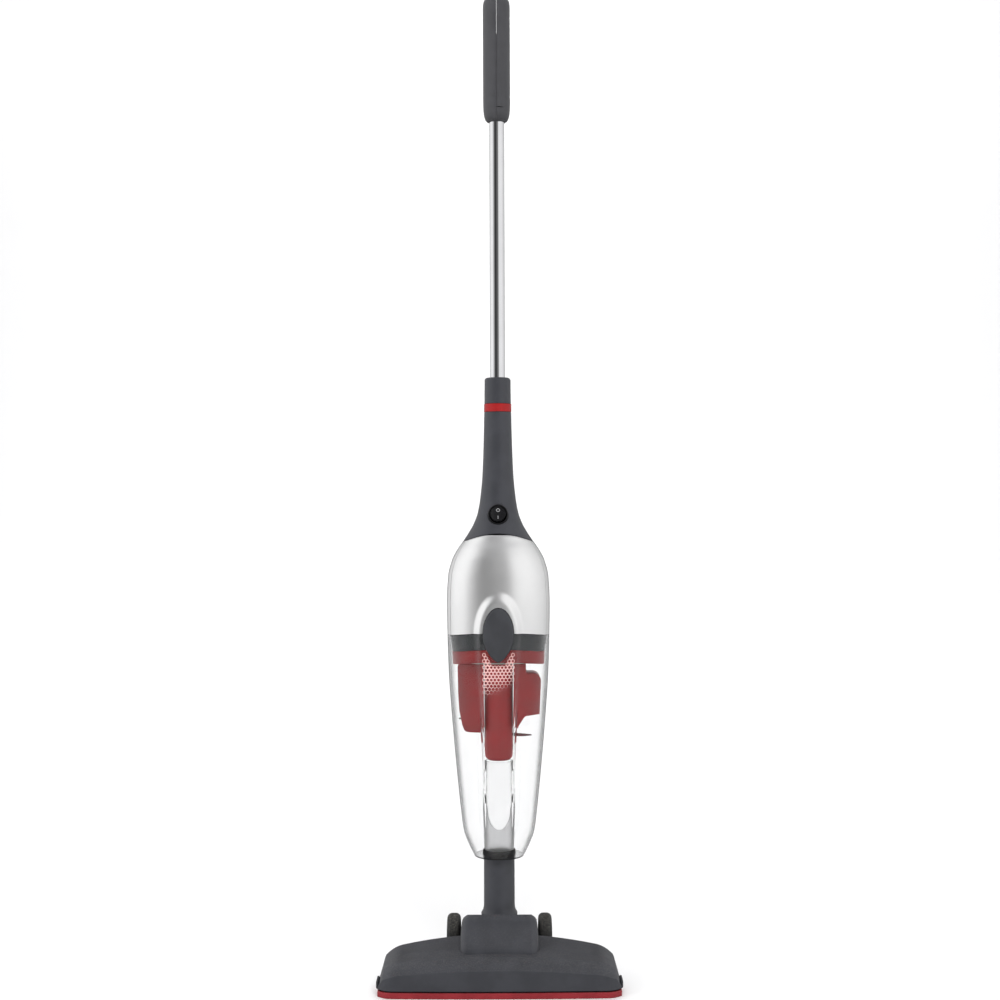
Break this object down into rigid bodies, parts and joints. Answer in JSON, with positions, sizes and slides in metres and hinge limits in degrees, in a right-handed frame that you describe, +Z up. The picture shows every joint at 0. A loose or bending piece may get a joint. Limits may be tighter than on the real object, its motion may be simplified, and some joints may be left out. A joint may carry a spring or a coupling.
{
  "type": "upright vacuum cleaner",
  "caption": "Slim corded upright vacuum cleaner: clear dust cup and motor housing on a reclining neck, wide floor head with rear wheels, chromed handle tube.",
  "frame": {"origin": "on the floor, on the axis of the upright neck, under the pivot of the elbow", "axes": "+Z up along the upright body, the machine faces -Y, +X to the right of a person looking at its front"},
  "size_m": [0.2744, 0.1443, 1.121],
  "materials": {
    "dark_grey_plastic": "fine satin moulded texture",
    "silver_shell": "silver metallic paint, satin",
    "clear_plastic": "clear polycarbonate",
    "red_plastic": "satin red moulding",
    "black_plastic": "fine satin",
    "black_rubber": "matt",
    "chromed_steel": "polished",
    "bright_steel": "satin",
    "copper_winding": "varnished copper",
    "white_filter": "matt non-woven",
    "grey_bristle": "short pile"
  },
  "bodies": {
    "floor_head": {"head_base": "dark_grey_plastic", "head_cover": "dark_grey_plastic", "front_bumper": "red_plastic", "side_pad_left": "black_rubber", "side_pad_right": "black_rubber", "lint_strip": "grey_bristle", "pivot_cap_left": "dark_grey_plastic", "pivot_cap_right": "dark_grey_plastic", "axle_left": "bright_steel", "axle_right": "bright_steel"},
    "wheel_left": {"tyre_left": "black_rubber", "wheel_rim_left": "black_plastic"},
    "wheel_right": {"tyre_right": "black_rubber", "wheel_rim_right": "black_plastic"},
    "neck": {"neck_elbow": "dark_grey_plastic"},
    "dust_cup": {"dust_cup": "clear_plastic", "inlet_pipe": "clear_plastic", "inlet_seal": "black_rubber"},
    "separator": {"separator_flange": "red_plastic", "motor_filter": "white_filter", "cyclone_column": "red_plastic", "filter_cage": "red_plastic", "cage_filter": "white_filter", "air_deflector": "red_plastic", "spiral_fin": "red_plastic"},
    "motor_unit": {"front_shell": "silver_shell", "rear_shell": "dark_grey_plastic", "exhaust_grille": "black_plastic", "exhaust_filter": "white_filter", "neck_shell_front": "dark_grey_plastic", "neck_shell_rear": "dark_grey_plastic", "red_band": "red_plastic", "neck_collar": "dark_grey_plastic", "tube_socket": "black_plastic", "switch_bezel": "black_plastic", "switch_body": "black_plastic", "cord_gland": "black_rubber", "motor_base_ring": "dark_grey_plastic", "fan_shroud": "bright_steel", "lower_motor_mount": "black_rubber", "motor_housing": "black_plastic", "upper_motor_mount": "black_rubber", "stator": "copper_winding", "lower_bearing": "bright_steel", "upper_bearing": "bright_steel", "carbon_brush_left": "copper_winding", "carbon_brush_right": "copper_winding", "release_spring": "bright_steel", "hook_pin": "bright_steel"},
    "rotor": {"motor_shaft": "bright_steel", "armature": "copper_winding", "commutator": "copper_winding", "impeller": "bright_steel"},
    "rocker": {"switch_rocker": "black_plastic"},
    "button": {"release_button": "dark_grey_plastic"},
    "handle": {"handle_tube": "chromed_steel", "grip_left": "dark_grey_plastic", "grip_right": "dark_grey_plastic", "upper_cord_hook": "dark_grey_plastic"},
    "cord_hook": {"cord_hook": "dark_grey_plastic"}
  },
  "joints": [
    {"name": "left_wheel_spin", "type": "hinge", "parent": "floor_head", "child": "wheel_left", "pos_m": [0, 0.043, 0.0327], "axis": [1, 0, 0], "continuous": true},
    {"name": "right_wheel_spin", "type": "hinge", "parent": "floor_head", "child": "wheel_right", "pos_m": [0, 0.043, 0.0327], "axis": [1, 0, 0], "continuous": true},
    {"name": "neck_recline", "type": "hinge", "parent": "floor_head", "child": "neck", "pos_m": [0, 0, 0.042], "axis": [-1, 0, 0], "range_deg": [0, 80]},
    {"name": "cup_lift", "type": "slide", "parent": "neck", "child": "dust_cup", "axis": [0, 0, 1], "range_m": [0, 0.06]},
    {"name": "separator_lift", "type": "slide", "parent": "dust_cup", "child": "separator", "axis": [0, 0, 1], "range_m": [0, 0.08]},
    {"name": "motor_unit_lift", "type": "slide", "parent": "dust_cup", "child": "motor_unit", "axis": [0, 0, 1], "range_m": [0, 0.16]},
    {"name": "rotor_spin", "type": "hinge", "parent": "motor_unit", "child": "rotor", "pos_m": [0, 0, 0.412], "axis": [0, 0, 1], "continuous": true},
    {"name": "switch_rock", "type": "hinge", "parent": "motor_unit", "child": "rocker", "pos_m": [0, -0.02253, 0.53269], "axis": [1, 0, 0], "range_deg": [0, 18]},
    {"name": "release_press", "type": "slide", "parent": "motor_unit", "child": "button", "axis": [0, 1, 0], "range_m": [0, 0.003], "stiffness_N_per_m": 300, "springref_m": -0.003, "deforming": ["release_spring"]},
    {"name": "handle_pull", "type": "slide", "parent": "motor_unit", "child": "handle", "axis": [0, 0, 1], "range_m": [0, 0.05]},
    {"name": "cord_hook_swivel", "type": "hinge", "parent": "motor_unit", "child": "cord_hook", "pos_m": [0, 0.0169, 0.604], "axis": [0, 1, 0], "range_deg": [0, 180]}
  ],
  "couplings": [
    {"joint": "separator_lift", "follows": "motor_unit_lift", "ratio": 0.5}
  ]
}
